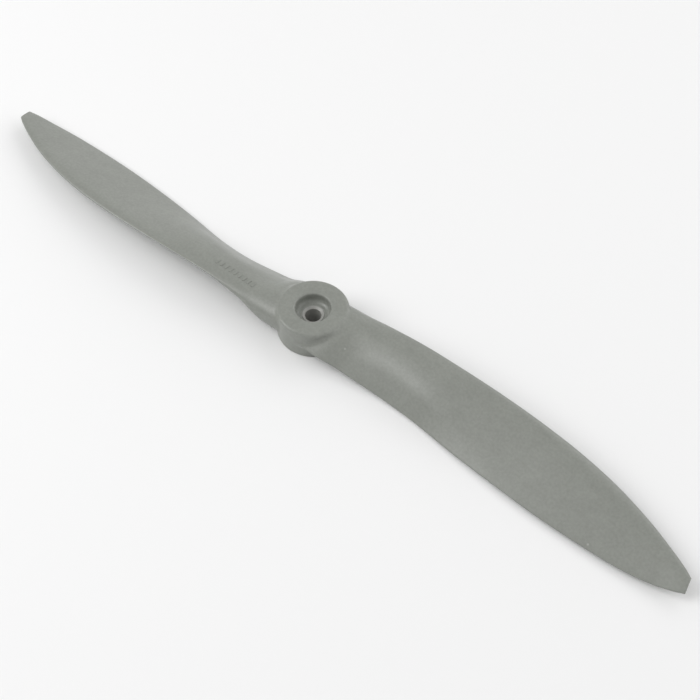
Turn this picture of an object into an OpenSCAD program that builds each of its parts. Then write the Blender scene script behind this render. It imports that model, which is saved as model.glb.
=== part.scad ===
// Two-blade fixed-pitch propeller for a model aircraft, with the reducer bush in its shaft hole.
// Origin on the shaft axis at the hub's rear face; +Z is the thrust direction, +X runs along blade 1.
// Seen from the front it turns counter-clockwise, so each blade leads with its +Y edge (blade 1).

/* [Propeller] */
// Diameter of the disc that the tips sweep
diameter = 254; // [200:1:280]
// Facets on each round surface
smooth = 96; // [48:8:128]

/* [Hub] */
// Diameter of the hub
hub_d = 20.8; // [18:0.1:24]
// Thickness of the hub between its clamping faces
hub_h = 9.7; // [8:0.1:12]
// Radius that rounds the hub's front rim
front_round = 0.8; // [0.4:0.1:1.2]
// Radius that rounds the hub's rear rim
rear_round = 0.4; // [0.2:0.1:0.6]
// Diameter of the hole for the engine's shaft, 1/4 inch
bore_d = 6.35; // [6:0.01:7]
// Diameter of the recess in the front face
recess_d = 10.2; // [9:0.1:12]
// Depth of the recess
recess_depth = 3.1; // [2:0.1:4]
// Radius between the recess's wall and its floor
recess_round = 1.4; // [0.4:0.1:1.6]
// Width of the bevel round the recess's mouth
mouth_bevel = 0.5; // [0.2:0.1:0.8]

/* [Shaft bush] */
// Inner diameter of the reducer bush, 3/16 inch
bush_id = 4.76; // [4:0.01:5.2]
// Radial running clearance between the bush and the hub
bush_gap = 0.02; // [0.01:0.01:0.05]
// Height of the lead-in cone at the bush's front end
bush_lead_in = 0.4; // [0.2:0.1:0.6]

/* [Blade] */
// Rings of points along each blade
rings = 44; // [24:4:60]
// Points on each side of a blade section
side_points = 12; // [8:2:16]
// How far the leading corner of the tip falls short of the trailing one
tip_slant = 1.0; // [0:0.1:3]
// Thickness of the trailing edge
edge_t = 0.5; // [0.3:0.05:0.8]

/* [Hidden] */
grey = [0.55, 0.56, 0.53];
light_grey = [0.66, 0.66, 0.63];
cut = 1;                                 // how far a cutting tool runs past a face
tip_r = diameter / 2;
hub_r = hub_d / 2;
bush_h = hub_h - recess_depth;

// Stations along the blade, from the shaft axis to the tip:
// [radius, lead y, lead z, trail y, trail z, nose, top, face, ridge, lower nose, lower tail].
// Radius, y and the last six are fractions of the tip radius, z is a fraction of the hub's thickness.
// The upper side is a round nose, a top that rises from the chord line, and a face that falls to
// the trailing edge. The ridge is how softly the top turns into the face.
STATIONS = [
    [0.000, 0.072, 0.56, -0.080, 0.50, 0.090, 0.030, 0.090, 0.009, 0.115, 0.095],
    [0.080, 0.079, 0.60, -0.074, 0.43, 0.082, 0.034, 0.100, 0.014, 0.115, 0.090],
    [0.120, 0.081, 0.71, -0.063, 0.30, 0.066, 0.034, 0.075, 0.016, 0.086, 0.063],
    [0.160, 0.081, 0.86, -0.058, 0.22, 0.036, 0.039, 0.054, 0.018, 0.060, 0.036],
    [0.250, 0.086, 0.98, -0.049, 0.10, 0.016, 0.060, 0.056, 0.025, 0.026, 0.020],
    [0.340, 0.092, 0.97, -0.048, 0.06, 0.012, 0.060, 0.067, 0.028, 0.024, 0.014],
    [0.450, 0.099, 0.90, -0.056, 0.08, 0.024, 0.027, 0.050, 0.018, 0.020, 0.016],
    [0.560, 0.102, 0.81, -0.060, 0.11, 0.031, 0.009, 0.034, 0.009, 0.018, 0.014],
    [0.670, 0.099, 0.71, -0.061, 0.11, 0.033, 0.009, 0.036, 0.009, 0.016, 0.013],
    [0.770, 0.087, 0.63, -0.057, 0.12, 0.028, 0.008, 0.030, 0.008, 0.013, 0.011],
    [0.860, 0.067, 0.55, -0.050, 0.14, 0.022, 0.006, 0.024, 0.006, 0.011, 0.009],
    [0.930, 0.044, 0.51, -0.039, 0.20, 0.017, 0.005, 0.018, 0.005, 0.008, 0.006],
    [0.975, 0.027, 0.50, -0.028, 0.31, 0.013, 0.004, 0.014, 0.004, 0.006, 0.005],
    [1.000, 0.016, 0.49, -0.019, 0.38, 0.009, 0.002, 0.010, 0.002, 0.005, 0.004]
];
last = len(STATIONS) - 1;

// Catmull-Rom value between b and c, with the neighbours a and d.
function spline(a, b, c, d, t) =
    b + t * (c - a + t * (2 * a - 5 * b + 4 * c - d + t * (3 * b - 3 * c + d - a))) / 2;

// Station values at position s, counted in stations from the root.
function station(s) =
    let (i = min(floor(s), last - 1))
    spline(STATIONS[max(i - 1, 0)], STATIONS[i], STATIONS[i + 1], STATIONS[min(i + 2, last)], s - i);

// The lower of two heights, with the corner between them rounded off.
function rounded_min(a, b, size) =
    min(a, b) - pow(max(size - abs(a - b), 0), 2) / (4 * size);

// Height of the upper side above the chord line at chord fraction c, in tip radii.
function upper_side(v, c) =
    rounded_min(v[5] * sqrt(c) * pow(1 - c, 2) + v[6] * c, v[7] * (1 - c), v[8]);

// Depth of the lower side under the chord line at chord fraction c, in tip radii.
function lower_side(v, c) = sqrt(c) * (1 - c) * (v[9] * (1 - c) + v[10] * c);

// Chord fraction of point k of n, closer together at both edges.
function chord_fraction(k, n) = (1 - cos(180 * k / n)) / 2;

// Point at chord fraction c on one side of the section with station values v:
// side is 1 for the upper surface and -1 for the lower one.
function section_point(v, c, side) =
    let (lead = [v[1] * tip_r, v[2] * hub_h])
    let (chord = [v[3] * tip_r, v[4] * hub_h] - lead)
    let (up = [chord[1], -chord[0]] / norm(chord))
    let (height = tip_r * (side > 0 ? upper_side(v, c) : lower_side(v, c)))
    let (lift = side * (height + c * edge_t / 2))
    let (p = lead + c * chord + lift * up)
    [v[0] * tip_r - tip_slant * (1 - c) * pow(v[0], 30), p[0], p[1]];

// Closed ring of points round the section at station position s.
function section_ring(s) =
    let (v = station(s))
    let (n = side_points)
    [
        for (k = [0 : n]) section_point(v, chord_fraction(k, n), 1),
        for (k = [n : -1 : 1]) section_point(v, chord_fraction(k, n), -1)
    ];

module blade_shape() {
    ring_size = 2 * side_points + 1;
    points = [for (j = [0 : rings]) each section_ring(last * j / rings)];
    sides = [
        for (j = [0 : rings - 1])
            for (k = [0 : ring_size - 1])
                let (a = j * ring_size + k)
                let (b = j * ring_size + (k + 1) % ring_size)
                each [[a, b, b + ring_size], [a, b + ring_size, a + ring_size]]
    ];
    root_cap = [for (k = [ring_size - 1 : -1 : 0]) k];
    tip_cap = [for (k = [0 : ring_size - 1]) rings * ring_size + k];
    polyhedron(points, concat(sides, [root_cap, tip_cap]), convexity = 6);
}

// Blade from the hub's wall outwards, so that the two meet face to face.
module blade() {
    color(grey)
        difference() {
            blade_shape();
            translate([0, 0, -cut])
                cylinder(r = hub_r, h = hub_h + 2 * cut, $fn = smooth);
        }
}

// Half section of the hub's body: a rectangle with both outer corners rounded.
module hub_section() {
    translate([0, rear_round])
        square([hub_r, hub_h - front_round - rear_round]);
    square([hub_r - rear_round, rear_round]);
    translate([hub_r - rear_round, rear_round])
        circle(r = rear_round, $fn = 48);
    translate([0, hub_h - front_round])
        square([hub_r - front_round, front_round]);
    translate([hub_r - front_round, hub_h - front_round])
        circle(r = front_round, $fn = 48);
}

// Half section of the recess, measured up from its floor.
module recess_section() {
    recess_r = recess_d / 2;
    translate([0, recess_round])
        square([recess_r, recess_depth - recess_round + cut]);
    square([recess_r - recess_round, recess_round]);
    translate([recess_r - recess_round, recess_round])
        circle(r = recess_round, $fn = 48);
}

module hub() {
    color(grey)
        difference() {
            rotate_extrude($fn = smooth) hub_section();
            translate([0, 0, bush_h])
                rotate_extrude($fn = smooth) recess_section();
            translate([0, 0, hub_h - mouth_bevel])
                cylinder(r1 = recess_d / 2, r2 = recess_d / 2 + 2 * mouth_bevel, h = 2 * mouth_bevel, $fn = smooth);
            translate([0, 0, -cut])
                cylinder(d = bore_d, h = hub_h, $fn = smooth);
        }
}

module blade_1() {
    blade();
}

module blade_2() {
    rotate([0, 0, 180])
        blade();
}

module shaft_bush() {
    outer_r = bore_d / 2 - bush_gap;
    inner_r = bush_id / 2;
    color(light_grey)
        difference() {
            cylinder(r = outer_r, h = bush_h, $fn = smooth);
            translate([0, 0, -cut])
                cylinder(r = inner_r, h = bush_h + 2 * cut, $fn = smooth);
            translate([0, 0, bush_h - bush_lead_in])
                cylinder(r1 = inner_r, r2 = outer_r, h = bush_lead_in + 0.01, $fn = smooth);
        }
}

hub();
blade_1();
blade_2();
shaft_bush();
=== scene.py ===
"""Looks of a two-blade model aircraft propeller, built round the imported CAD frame."""
import math

import bpy
import numpy as np
from mathutils import Matrix, Vector


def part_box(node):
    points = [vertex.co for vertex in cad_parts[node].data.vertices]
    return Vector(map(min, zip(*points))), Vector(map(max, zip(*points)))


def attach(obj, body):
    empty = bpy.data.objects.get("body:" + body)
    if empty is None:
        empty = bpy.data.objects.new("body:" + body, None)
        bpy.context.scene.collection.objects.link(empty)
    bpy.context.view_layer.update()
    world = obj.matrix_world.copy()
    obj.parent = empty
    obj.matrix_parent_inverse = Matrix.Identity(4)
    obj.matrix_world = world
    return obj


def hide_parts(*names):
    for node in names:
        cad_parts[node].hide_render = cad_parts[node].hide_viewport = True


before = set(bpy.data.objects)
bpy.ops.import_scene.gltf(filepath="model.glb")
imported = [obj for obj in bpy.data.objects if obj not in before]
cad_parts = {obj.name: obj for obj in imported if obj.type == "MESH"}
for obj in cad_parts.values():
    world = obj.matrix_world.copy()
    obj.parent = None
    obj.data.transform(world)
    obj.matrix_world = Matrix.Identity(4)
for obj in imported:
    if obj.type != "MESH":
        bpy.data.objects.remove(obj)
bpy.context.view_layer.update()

MM = 0.001                     # the script works in millimetres and writes metres

# ---------------------------------------------------------------- sizes taken from the frame
hub_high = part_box("hub")[1]
bush_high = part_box("shaft_bush")[1]
blade_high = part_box("blade_1")[1]

hub_r = hub_high.x / MM
hub_h = hub_high.z / MM
tip_r = blade_high.x / MM
bush_r = bush_high.x / MM
bush_h = bush_high.z / MM

# ---------------------------------------------------------------- hub details
bush_gap = 0.02                # radial clearance of the bush in the bore
bore_r = bush_r + bush_gap
front_round = 0.8              # rounding of the hub's front rim
rear_round = 0.4               # rounding of the hub's rear rim
recess_r = 5.1                 # radius of the recess in the front face
recess_round = 1.4             # radius between the recess's wall and floor
mouth_round = 0.55             # rounding of the recess's mouth
bore_round = 0.2               # rounding of the bore's front edge
root_fillet = 1.2              # fillet between the hub's wall and a blade

# ---------------------------------------------------------------- blade shape
# [radius, lead y, lead z, trail y, trail z, nose, top, face, ridge, lower nose, lower tail].
# Radius, y and the last six are fractions of the tip radius, z is a fraction of the hub's
# thickness. The upper side is a round nose, a top that rises from the chord, and a face that
# falls to the trailing edge; the ridge rounds the line where top and face meet.
STATIONS = np.array([
    [0.000, 0.072, 0.56, -0.080, 0.50, 0.090, 0.030, 0.090, 0.009, 0.115, 0.095],
    [0.080, 0.079, 0.60, -0.074, 0.43, 0.082, 0.034, 0.100, 0.014, 0.115, 0.090],
    [0.120, 0.081, 0.71, -0.063, 0.30, 0.066, 0.034, 0.075, 0.016, 0.086, 0.063],
    [0.160, 0.081, 0.86, -0.058, 0.22, 0.036, 0.039, 0.054, 0.018, 0.060, 0.036],
    [0.250, 0.086, 0.98, -0.049, 0.10, 0.016, 0.060, 0.056, 0.025, 0.026, 0.020],
    [0.340, 0.092, 0.97, -0.048, 0.06, 0.012, 0.060, 0.067, 0.028, 0.024, 0.014],
    [0.450, 0.099, 0.90, -0.056, 0.08, 0.024, 0.027, 0.050, 0.018, 0.020, 0.016],
    [0.560, 0.102, 0.81, -0.060, 0.11, 0.031, 0.009, 0.034, 0.009, 0.018, 0.014],
    [0.670, 0.099, 0.71, -0.061, 0.11, 0.033, 0.009, 0.036, 0.009, 0.016, 0.013],
    [0.770, 0.087, 0.63, -0.057, 0.12, 0.028, 0.008, 0.030, 0.008, 0.013, 0.011],
    [0.860, 0.067, 0.55, -0.050, 0.14, 0.022, 0.006, 0.024, 0.006, 0.011, 0.009],
    [0.930, 0.044, 0.51, -0.039, 0.20, 0.017, 0.005, 0.018, 0.005, 0.008, 0.006],
    [0.975, 0.027, 0.50, -0.028, 0.31, 0.013, 0.004, 0.014, 0.004, 0.006, 0.005],
    [1.000, 0.016, 0.49, -0.019, 0.38, 0.009, 0.002, 0.010, 0.002, 0.005, 0.004],
])
STATIONS[:, [0, 1, 3]] *= tip_r
STATIONS[:, 5:] *= tip_r
STATIONS[:, [2, 4]] *= hub_h
LAST = len(STATIONS) - 1
edge_t = 0.5                   # thickness of the trailing edge
tip_slant = 1.0                # how far the tip's leading corner falls short
tip_round = 0.3                # rounding of the tip's end

# ---------------------------------------------------------------- mesh density
SIDE_POINTS = 36               # points on each side of a blade section
BLADE_RINGS = 130              # rings along each blade, outside the hub zone
TIP_RINGS = 5                  # rings that round off the tip
ZONE = 17.0                    # the hub zone reaches this far along X
ZONE_Y = 12.6                  # and this far along Y
ZONE_BELOW = 0.5               # room under the hub in the zone
ZONE_ROOM = 1.6                # room above the hub and under it, together
CELL = 0.24                    # size of a cell in the hub zone


def station(s):
    """Catmull-Rom values of the blade at station positions s."""
    s = np.clip(np.asarray(s, float), 0, LAST)
    i = np.minimum(np.floor(s).astype(int), LAST - 1)
    t = (s - i)[..., None]
    a, b = STATIONS[np.maximum(i - 1, 0)], STATIONS[i]
    c, d = STATIONS[i + 1], STATIONS[np.minimum(i + 2, LAST)]
    return b + t * (c - a + t * (2 * a - 5 * b + 4 * c - d + t * (3 * b - 3 * c + d - a))) / 2


def upper_side(c, nose, top, face, ridge):
    """Height of a section's upper side above its chord at c."""
    rise = nose * np.sqrt(c) * (1 - c) ** 2 + top * c
    fall = face * (1 - c)
    blend = np.maximum(ridge - np.abs(rise - fall), 0) / ridge
    return np.minimum(rise, fall) - blend**2 * ridge / 4


def lower_side(c, nose, tail):
    """Depth of a section's lower side under its chord at c."""
    return np.sqrt(c) * (1 - c) * (nose * (1 - c) + tail * c)


def section(values, thin=1.0, inset=0.0):
    """Closed rings of (x, y, z) round the sections with these station values, upper side first."""
    n = SIDE_POINTS
    c = (1 - np.cos(np.pi * np.arange(n + 1) / n)) / 2
    values = np.asarray(values)[..., None, :]
    lead, trail = values[..., 1:3], values[..., 3:5]
    chord = trail - lead
    length = np.linalg.norm(chord, axis=-1, keepdims=True)
    up = np.stack([chord[..., 1], -chord[..., 0]], -1) / length
    tail = np.clip((c - 1) * length[..., 0] / (edge_t / 2) + 1, 0, 1)
    edge = edge_t / 2 * c * np.sqrt(1 - tail**2)
    shrink = 1 - 2 * inset / length[..., 0]
    rings = []
    sides = ((1, upper_side(c, *np.moveaxis(values[..., 5:9], -1, 0)), slice(0, n + 1)),
             (-1, lower_side(c, *np.moveaxis(values[..., 9:], -1, 0)), slice(n - 1, 0, -1)))
    for way, height, order in sides:
        lift = way * thin * (height + edge)
        along = (0.5 + (c - 0.5) * shrink)[..., None]
        yz = lead + along * chord + lift[..., None] * up
        x = values[..., 0] - tip_slant * (1 - c) * (values[..., 0] / tip_r) ** 30
        rings.append(np.concatenate([x[..., None], yz], -1)[..., order, :])
    return np.concatenate(rings, -2)


FINE = np.linspace(0, LAST, 1301)
FINE_X = station(FINE)[:, 0]


def section_at(x):
    """Rings of the sections at the radii x."""
    return section(station(np.interp(x, FINE_X, FINE)))


# ---------------------------------------------------------------- distance fields of the hub zone
def blade_field(p):
    """Signed distance from points p to blade 1's section at their x, and its (y, z) gradient."""
    distance = np.empty(len(p))
    gradient = np.zeros((len(p), 3))
    for start in range(0, len(p), 20000):
        q = p[start:start + 20000]
        ring = section_at(np.maximum(q[:, 0], 0))[:, :, 1:]
        a, b = ring, np.roll(ring, -1, 1)
        ab = b - a
        ap = q[:, None, 1:] - a
        t = np.clip((ap * ab).sum(-1) / np.maximum((ab**2).sum(-1), 1e-12), 0, 1)
        away = ap - t[..., None] * ab
        d2 = (away**2).sum(-1)
        nearest = d2.argmin(1)
        rows = np.arange(len(q))
        d = np.sqrt(d2[rows, nearest])
        y, z = q[:, None, 1], q[:, None, 2]
        crosses = (a[..., 1] > z) != (b[..., 1] > z)
        rise = np.where(ab[..., 1] == 0, 1, ab[..., 1])
        inside = (crosses & (y < a[..., 0] + (z - a[..., 1]) * ab[..., 0] / rise)).sum(1) % 2 == 1
        sign = np.where(inside, -1, 1)
        gradient[start:start + 20000, 1:] = away[rows, nearest] * (sign / np.maximum(d, 1e-9))[:, None]
        distance[start:start + 20000] = np.maximum(sign * d, -q[:, 0])
    return distance, gradient


def rounded_slab(rho, z, radius, low, high, low_round, high_round):
    """Signed distance to a disc with rounded rims, from (rho, z), and its gradient there."""
    mid, half = (low + high) / 2, (high - low) / 2
    r = np.where(z > mid, high_round, low_round)
    qx, qz = rho - radius + r, np.abs(z - mid) - half + r
    out_x, out_z = np.maximum(qx, 0), np.maximum(qz, 0)
    length = np.hypot(out_x, out_z)
    d = np.minimum(np.maximum(qx, qz), 0) + length - r
    outside = length > 1e-9
    side = qx > qz
    gx = np.where(outside, out_x / np.maximum(length, 1e-9), side)
    gz = np.where(outside, out_z / np.maximum(length, 1e-9), ~side) * np.sign(z - mid)
    return d, gx, gz


def round_union(a, b, k):
    """Union of two distance fields with a fillet of radius k in the corner."""
    k = np.maximum(k, 1e-6)
    return np.maximum(k, np.minimum(a, b)) - np.hypot(np.maximum(k - a, 0), np.maximum(k - b, 0))


def round_cut(a, b, k):
    """Field a with field b taken away, its edge rounded to radius k."""
    return -round_union(-a, b, k)


def hub_zone_field(p):
    """Signed distance, roughly, to the whole moulding near the hub."""
    rho = np.hypot(p[:, 0], p[:, 1])
    safe = np.maximum(rho, 1e-9)
    field, out, up = rounded_slab(rho, p[:, 2], hub_r, 0, hub_h, rear_round, front_round)
    hub_gradient = np.stack([out * p[:, 0] / safe, out * p[:, 1] / safe, up], -1)
    blades = np.full(len(p), 1e3)
    blade_gradient = np.zeros((len(p), 3))
    for turn in (1, -1):
        near = turn * p[:, 0] > -1
        d, g = blade_field(p[near] * (turn, turn, 1))
        closer = np.zeros(len(p), bool)
        closer[near] = d < blades[near]
        keep = closer[near]
        blades[closer] = d[keep]
        blade_gradient[closer] = (g * (turn, turn, 1))[keep]
    facing = (hub_gradient * blade_gradient).sum(-1)
    field = round_union(field, blades, root_fillet * np.clip(1 - facing, 0, 1))
    recess, _, _ = rounded_slab(rho, p[:, 2], recess_r, bush_h, 3 * hub_h, recess_round, recess_round)
    field = round_cut(field, recess, mouth_round)
    return round_cut(field, rho - bore_r, bore_round)


def surface_net(low, counts, cell, field):
    """Vertices and quads of the surface where a field is zero, one vertex in each crossed cell."""
    axes = [low[k] + cell * np.arange(counts[k] + 1) for k in range(3)]
    nodes = np.stack(np.meshgrid(*axes, indexing="ij"), -1)
    values = field(nodes.reshape(-1, 3)).reshape(nodes.shape[:3])
    inside = values < 0
    total = np.zeros(tuple(counts) + (3,))
    hits = np.zeros(tuple(counts))
    crossings = []
    for axis in range(3):
        a = [slice(None)] * 3
        b = [slice(None)] * 3
        a[axis], b[axis] = slice(0, -1), slice(1, None)
        va, vb = values[tuple(a)], values[tuple(b)]
        cross = inside[tuple(a)] != inside[tuple(b)]
        crossings.append(cross)
        t = np.where(cross, va / np.where(cross, va - vb, 1), 0)
        point = nodes[tuple(a)].copy()
        point[..., axis] += t * cell
        point *= cross[..., None]
        others = [k for k in range(3) if k != axis]
        for shift in ((0, 0), (0, 1), (1, 0), (1, 1)):
            part = [slice(None)] * 3
            for k, s in zip(others, shift):
                part[k] = slice(s, counts[k] + s)
            total += point[tuple(part)]
            hits += cross[tuple(part)]
    used = hits > 0
    index = np.full(tuple(counts), -1)
    index[used] = np.arange(used.sum())
    vertices = total[used] / hits[used][:, None]
    quads = []
    for axis in range(3):
        i = np.argwhere(crossings[axis])
        u, v = (axis + 1) % 3, (axis + 2) % 3
        valid = (i[:, u] > 0) & (i[:, u] < counts[u]) & (i[:, v] > 0) & (i[:, v] < counts[v])
        i = i[valid]
        corners = []
        for du, dv in ((0, 0), (-1, 0), (-1, -1), (0, -1)):
            j = i.copy()
            j[:, u] += du
            j[:, v] += dv
            corners.append(index[tuple(j.T)])
        quad = np.stack(corners, -1)
        starts_inside = inside[tuple(i.T)]
        quad[~starts_inside] = quad[~starts_inside][:, ::-1]
        quads.append(quad)
    return vertices, np.concatenate(quads)


def settle(vertices, field, rounds=2, step=0.01):
    """Moves vertices along the field's slope until they lie on its surface."""
    for _ in range(rounds):
        value = field(vertices)
        slope = np.stack([
            field(vertices + step * np.eye(3)[k]) - value for k in range(3)
        ], -1) / step
        slope /= np.maximum((slope**2).sum(-1, keepdims=True), 0.05)
        move = np.clip(value[:, None] * slope, -CELL, CELL)
        vertices = vertices - move
    return vertices


def open_loops(quads):
    """Ordered loops of vertices along the open edges of a mesh, following the faces' direction."""
    sides = np.concatenate([quads[:, [k, (k + 1) % 4]] for k in range(4)])
    known = {(int(a), int(b)) for a, b in sides}
    after = {a: b for a, b in known if (b, a) not in known}
    loops = []
    while after:
        first, loop = next(iter(after)), []
        here = first
        while here in after:
            loop.append(here)
            here = after.pop(here)
        loops.append(loop)
    return loops


def zip_loops(points, loop_a, loop_b):
    """Triangles between two closed loops that run the same way, matched by length along them.

    Loop a's own faces use its edges forwards, loop b's own faces use its edges backwards.
    """
    def turned(loop):
        start = int(np.argmax([points[k][1] * np.sign(points[k][0]) for k in loop]))
        return loop[start:] + loop[:start]

    def lengths(loop):
        p = points[loop + loop[:1]]
        total = np.concatenate([[0], np.cumsum(np.linalg.norm(np.diff(p, axis=0), axis=1))])
        return total / total[-1]

    loop_a, loop_b = turned(loop_a), turned(loop_b)
    la, lb = lengths(loop_a), lengths(loop_b)
    i = j = 0
    faces = []
    while i < len(loop_a) or j < len(loop_b):
        a, b = loop_a[i % len(loop_a)], loop_b[j % len(loop_b)]
        step_a = j == len(loop_b) or (i < len(loop_a) and la[i + 1] <= lb[j + 1])
        if step_a:
            i += 1
            faces.append((loop_a[i % len(loop_a)], a, b))
        else:
            j += 1
            faces.append((b, loop_b[j % len(loop_b)], a))
    return faces


def new_object(name, vertices, faces, material):
    """A smooth-shaded mesh object from points in millimetres."""
    mesh = bpy.data.meshes.new(name)
    points = [tuple(float(c) * MM for c in v) for v in vertices]
    mesh.from_pydata(points, [], [[int(k) for k in face] for face in faces])
    mesh.validate()
    mesh.shade_smooth()
    mesh.materials.append(material)
    item = bpy.data.objects.new(name, mesh)
    bpy.context.scene.collection.objects.link(item)
    return item


# ---------------------------------------------------------------- materials
def moulded_plastic(name, colour, roughness):
    """Satin glass-filled nylon: soft mottling, faint flow lines, fine grain and a few pale nicks."""
    material = bpy.data.materials.new(name)
    material.use_nodes = True
    nodes, links = material.node_tree.nodes, material.node_tree.links
    shader = nodes["Principled BSDF"]
    place = nodes.new("ShaderNodeTexCoord").outputs["Object"]

    def noise(scale, detail=2.0, stretch=(1, 1, 1)):
        """Noise with this many lumps to a metre."""
        mapping = nodes.new("ShaderNodeMapping")
        mapping.inputs["Scale"].default_value = stretch
        links.new(place, mapping.inputs["Vector"])
        texture = nodes.new("ShaderNodeTexNoise")
        texture.inputs["Scale"].default_value = scale
        texture.inputs["Detail"].default_value = detail
        links.new(mapping.outputs["Vector"], texture.inputs["Vector"])
        return texture.outputs["Fac"]

    def ramp(source, low, high, to_low, to_high):
        """Source remapped from [low, high] to [to_low, to_high], clamped."""
        node = nodes.new("ShaderNodeMapRange")
        links.new(source, node.inputs["Value"])
        for socket, value in (("From Min", low), ("From Max", high), ("To Min", to_low), ("To Max", to_high)):
            node.inputs[socket].default_value = value
        return node.outputs["Result"]

    def math_node(operation, a, b):
        """One arithmetic step on two sockets."""
        node = nodes.new("ShaderNodeMath")
        node.operation = operation
        links.new(a, node.inputs[0])
        links.new(b, node.inputs[1])
        return node.outputs[0]

    mottle = ramp(noise(260, 3.0), 0.3, 0.7, 0.97, 1.03)
    flow = ramp(noise(1, 3.0, (60, 500, 500)), 0.3, 0.7, 0.985, 1.015)
    speck = ramp(noise(1300, 2.0), 0.3, 0.7, 0.94, 1.06)
    shade = math_node("MULTIPLY", math_node("MULTIPLY", mottle, flow), speck)
    cells = nodes.new("ShaderNodeTexVoronoi")
    cells.inputs["Scale"].default_value = 70
    links.new(place, cells.inputs["Vector"])
    nick = ramp(cells.outputs["Distance"], 0.012, 0.03, 0.5, 0.0)
    tinted = nodes.new("ShaderNodeVectorMath")
    tinted.operation = "SCALE"
    tinted.inputs[0].default_value = colour
    links.new(shade, tinted.inputs["Scale"])
    pale = nodes.new("ShaderNodeMix")
    pale.data_type = "RGBA"
    links.new(nick, pale.inputs["Factor"])
    links.new(tinted.outputs["Vector"], pale.inputs["A"])
    pale.inputs["B"].default_value = (0.52, 0.52, 0.49, 1)
    links.new(pale.outputs["Result"], shader.inputs["Base Color"])
    links.new(ramp(noise(500, 2.0), 0.3, 0.7, roughness - 0.03, roughness + 0.03), shader.inputs["Roughness"])
    bump = nodes.new("ShaderNodeBump")
    bump.inputs["Strength"].default_value = 0.08
    bump.inputs["Distance"].default_value = 0.00004
    links.new(noise(2200, 2.0), bump.inputs["Height"])
    links.new(bump.outputs["Normal"], shader.inputs["Normal"])
    return material


def build_propeller(material):
    """The hub and both blades as one closed moulding."""
    counts = (2 * round(ZONE / CELL), 2 * round(ZONE_Y / CELL), round((hub_h + ZONE_ROOM) / CELL))
    low = (-counts[0] / 2 * CELL, -counts[1] / 2 * CELL, -ZONE_BELOW)
    vertices, quads = surface_net(low, counts, CELL, hub_zone_field)
    vertices = settle(vertices, hub_zone_field)
    loops = open_loops(quads)
    points, faces = [vertices], [tuple(q) for q in quads]
    offset = len(vertices)
    first = np.interp(ZONE + CELL, FINE_X, FINE)
    s = first + (LAST - first) * np.linspace(0, 1, BLADE_RINGS + 1)
    body = section(station(s))
    ring_size = body.shape[1]
    end = [section(station(LAST), thin=math.cos(a), inset=tip_round * (1 - math.cos(a)))
           + (tip_round * math.sin(a), 0, 0)
           for a in np.linspace(0, math.pi / 2, TIP_RINGS + 1)[1:]]
    blade = np.concatenate([body, np.array(end)])
    rings = len(blade)
    for turn in (1, -1):
        points.append(blade.reshape(-1, 3) * (turn, turn, 1))
        for j in range(rings - 1):
            for k in range(ring_size):
                a, b = offset + j * ring_size + k, offset + j * ring_size + (k + 1) % ring_size
                faces.append((a, b, b + ring_size, a + ring_size))
        everything = np.concatenate(points)
        inner = next(loop for loop in loops if turn * everything[loop[0]][0] > 0)
        outer = list(range(offset, offset + ring_size))[::-1]
        faces += zip_loops(everything, inner, outer)
        offset += rings * ring_size
    return new_object("propeller_moulding", np.concatenate(points), faces, material)


BAR_STARTS = np.arange(18.6, 33.5, 1.7)    # distances of the bars from the shaft axis
BAR_CHORD = 0.24               # chord fraction where the bars lie
BAR_HALF = (0.4, 0.05)         # half a bar's size along the blade, and along the chord as a fraction
BAR_SUNK = 0.3                 # how far a bar reaches into the blade
BAR_PROUD = 0.2                # how far it stands out
BAR_TAPER = 0.1                # how much narrower its top is than its foot
BOX_SIDES = ((0, 1, 2, 3), (4, 7, 6, 5), (0, 4, 5, 1), (1, 5, 6, 2), (2, 6, 7, 3), (3, 7, 4, 0))


def raised_bars(material):
    """A plain row of short raised bars on the root of blade 2, near its leading edge."""
    vertices, faces = [], []
    for x in BAR_STARTS:
        values = station(np.interp(x, FINE_X, FINE))
        lead, trail = values[1:3], values[3:5]
        chord = trail - lead
        up = np.array([chord[1], -chord[0]]) / np.linalg.norm(chord)
        start = len(vertices)
        for rise, inset in ((-BAR_SUNK, 0.0), (BAR_PROUD, BAR_TAPER)):
            for way_x, way_c in ((-1, -1), (1, -1), (1, 1), (-1, 1)):
                c = BAR_CHORD + way_c * BAR_HALF[1] * (1 - inset)
                yz = lead + c * chord + (upper_side(c, *values[5:9]) + rise) * up
                vertices.append((-(x + way_x * BAR_HALF[0] * (1 - 2 * inset)), -yz[0], yz[1]))
        faces += [[start + k for k in side] for side in BOX_SIDES]
    item = new_object("root_bars", vertices, faces, material)
    item.data.shade_flat()
    return item


grey_plastic = moulded_plastic("moulding", (0.250, 0.260, 0.236), 0.33)
bush_plastic = moulded_plastic("bush", (0.34, 0.34, 0.32), 0.34)

propeller = build_propeller(grey_plastic)
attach(propeller, "propeller")
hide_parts("hub", "blade_1", "blade_2")
bars = raised_bars(grey_plastic)
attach(bars, "propeller")
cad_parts["shaft_bush"].data.materials.clear()
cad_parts["shaft_bush"].data.materials.append(bush_plastic)

# ---------------------------------------------------------------- studio
FLOOR_SIZE = 4                 # side of the floor, in metres
DOME = 0.35                    # radiance of the even white surroundings
LAMP_SIZE = 0.6                # diameter of a soft lamp, in metres
LAMP_REACH = 0.9               # its distance from the origin, in metres
LEFT_KEY = (225, 42, 3.4)      # [azimuth, elevation, watts]; draws the band on blade 1's root
RIGHT_RIM = (45, 18, 1.1)      # low on the right, lights the rims
FRONT_FILL = (315, 42, 0.3)
BACK_FILLS = [(25, 42, 1.0), (90, 42, 1.1)]
TOP_FILL = (210, 66, 1.0)
RING = [(azimuth, 18, 0.55) for azimuth in range(0, 226, 45)]  # weak and low, not on the camera's side


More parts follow.
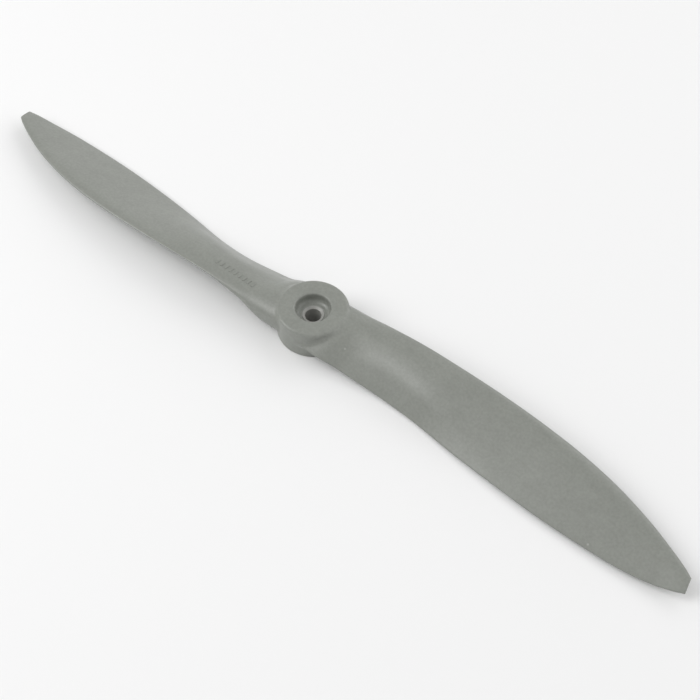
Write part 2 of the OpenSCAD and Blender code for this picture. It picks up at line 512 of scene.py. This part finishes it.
def studio():
    """White floor, even surroundings and soft lamps on both sides."""
    scene = bpy.context.scene
    scene.view_settings.view_transform = "Standard"
    bpy.ops.mesh.primitive_plane_add(size=FLOOR_SIZE, location=(0, 0, 0))
    floor = bpy.context.object
    floor.name = "floor"
    white = bpy.data.materials.new("floor_white")
    white.use_nodes = True
    white.node_tree.nodes["Principled BSDF"].inputs["Base Color"].default_value = (0.9, 0.9, 0.9, 1)
    white.node_tree.nodes["Principled BSDF"].inputs["Roughness"].default_value = 0.9
    floor.data.materials.append(white)
    world = bpy.data.worlds.new("studio")
    scene.world = world
    world.use_nodes = True
    world.node_tree.nodes["Background"].inputs["Color"].default_value = (1, 1, 1, 1)
    world.node_tree.nodes["Background"].inputs["Strength"].default_value = DOME
    for azimuth, elevation, power in [LEFT_KEY, RIGHT_RIM, FRONT_FILL, TOP_FILL] + BACK_FILLS + RING:
        lamp = bpy.data.lights.new("softbox", "AREA")
        lamp.shape = "DISK"
        lamp.size = LAMP_SIZE
        lamp.energy = power
        light = bpy.data.objects.new("softbox", lamp)
        scene.collection.objects.link(light)
        a, e = math.radians(azimuth), math.radians(elevation)
        toward = Vector((math.cos(e) * math.cos(a), math.cos(e) * math.sin(a), math.sin(e)))
        light.location = LAMP_REACH * toward
        light.rotation_euler = (-light.location).to_track_quat("-Z", "Y").to_euler()


def camera():
    """Camera above the near side, with blade 1 towards it."""
    target = Vector((17.84, -4.42, 9.7)) * MM
    distance, azimuth, elevation, roll = 367.3 * MM, -50.15, 52.23, 2.0
    a, e = math.radians(azimuth), math.radians(elevation)
    place = target + distance * Vector((math.cos(e) * math.cos(a), math.cos(e) * math.sin(a), math.sin(e)))
    data = bpy.data.cameras.new("camera")
    data.sensor_width = 36
    data.angle = math.radians(29.56)
    item = bpy.data.objects.new("camera", data)
    bpy.context.scene.collection.objects.link(item)
    turn = (target - place).to_track_quat("-Z", "Y").to_matrix() @ Matrix.Rotation(math.radians(roll), 3, "Z")
    item.matrix_world = Matrix.Translation(place) @ turn.to_4x4()
    bpy.context.scene.camera = item


studio()
camera()
